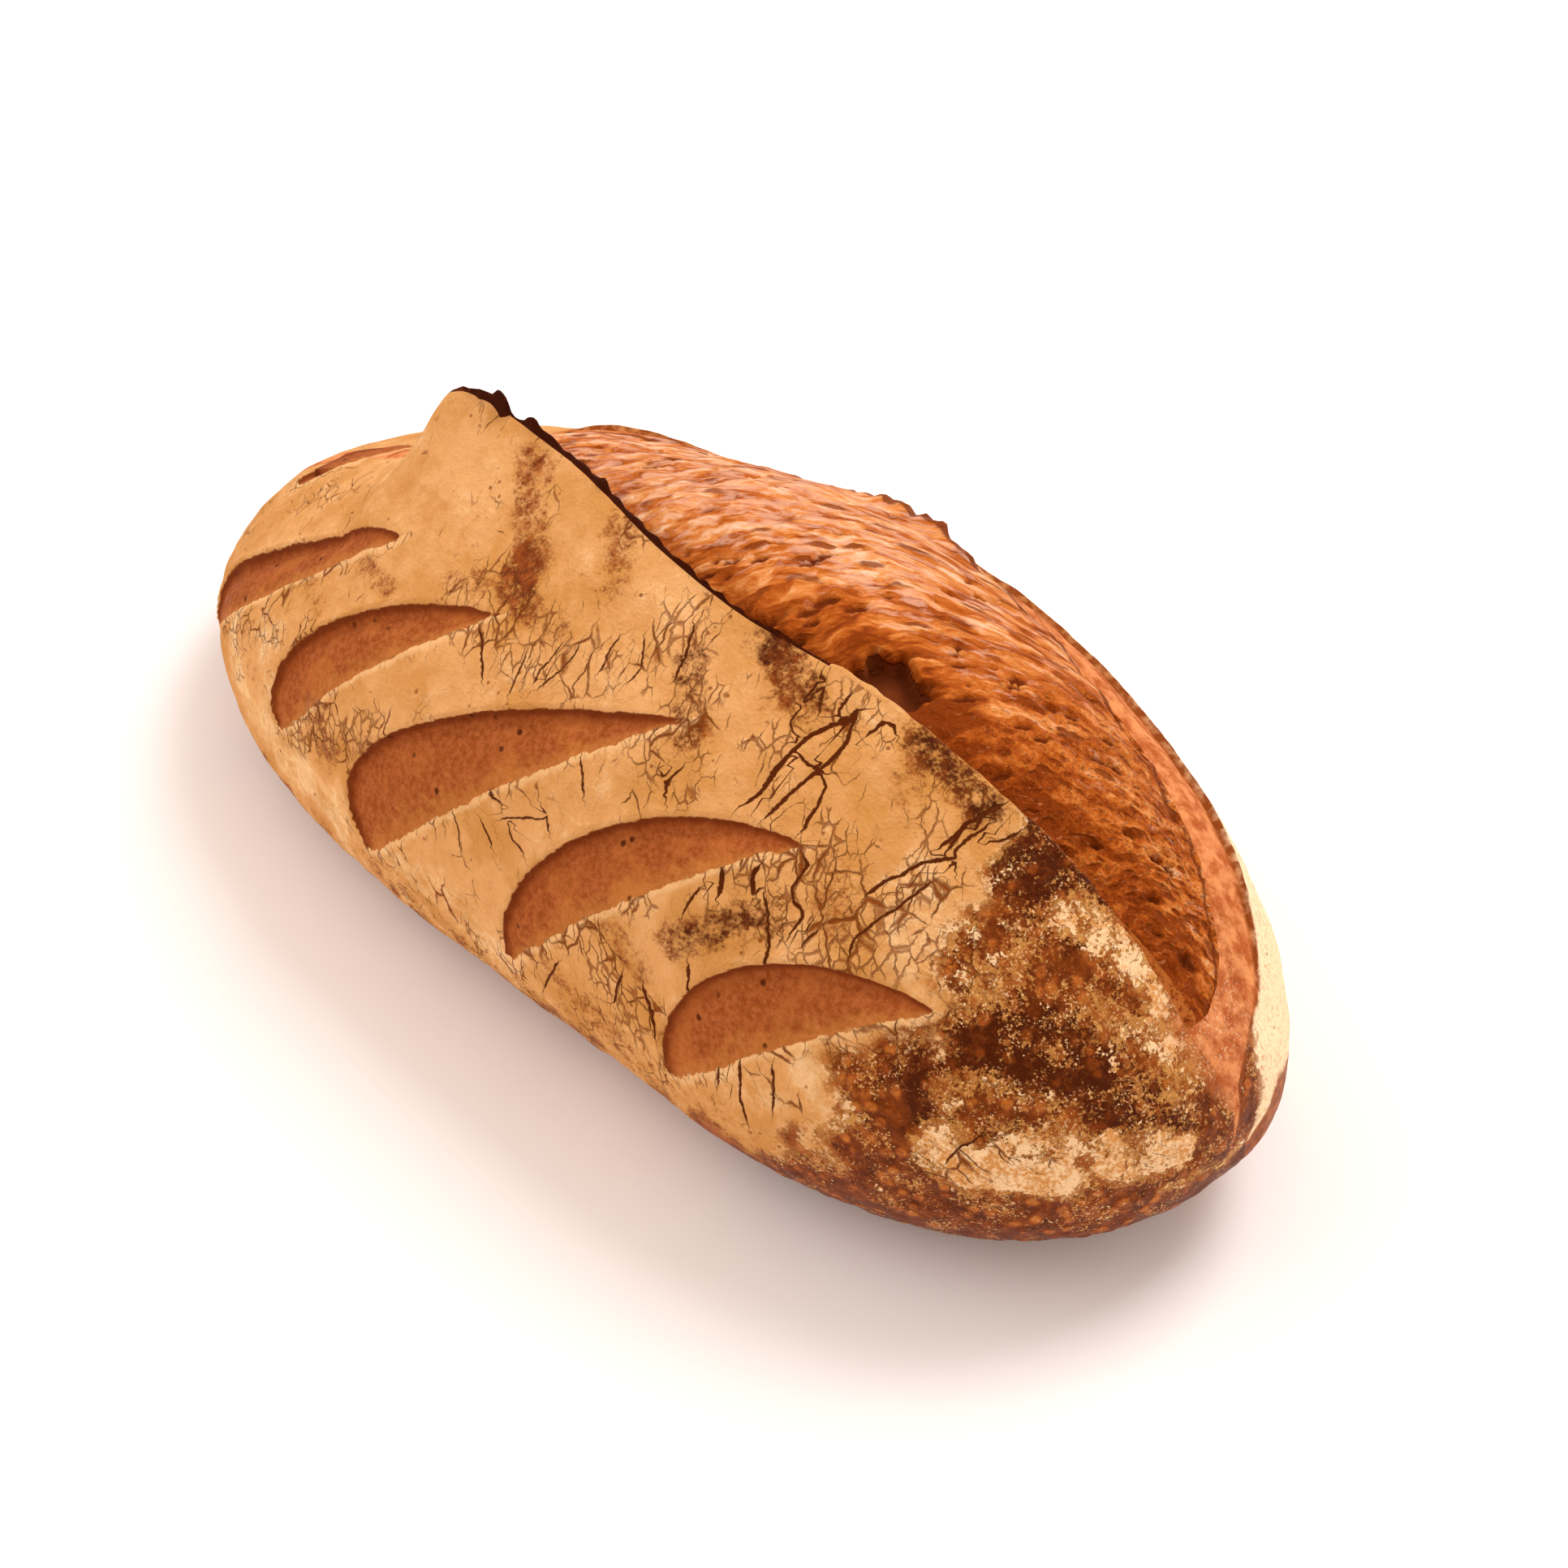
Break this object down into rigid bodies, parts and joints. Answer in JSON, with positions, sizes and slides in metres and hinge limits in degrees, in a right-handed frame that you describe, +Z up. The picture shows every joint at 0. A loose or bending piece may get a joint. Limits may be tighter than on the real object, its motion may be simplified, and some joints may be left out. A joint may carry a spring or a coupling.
{
  "type": "sourdough loaf",
  "caption": "Oval hearth-baked sourdough batard with a raised ear along the score, a torn-open bloom, leaf cuts in the floured flank and a flat base.",
  "frame": {"origin": "on the resting plane, under the middle of the loaf's bounding box", "axes": "+X along the loaf towards the blunt end where the score runs out, -Y the floured side with the leaf cuts, +Y the side that tore open, +Z up"},
  "size_m": [0.3, 0.1424, 0.1056],
  "materials": {
    "crust": "matt baked crust, partly floured"
  },
  "bodies": {
    "root": {"loaf": "crust"}
  },
  "joints": []
}
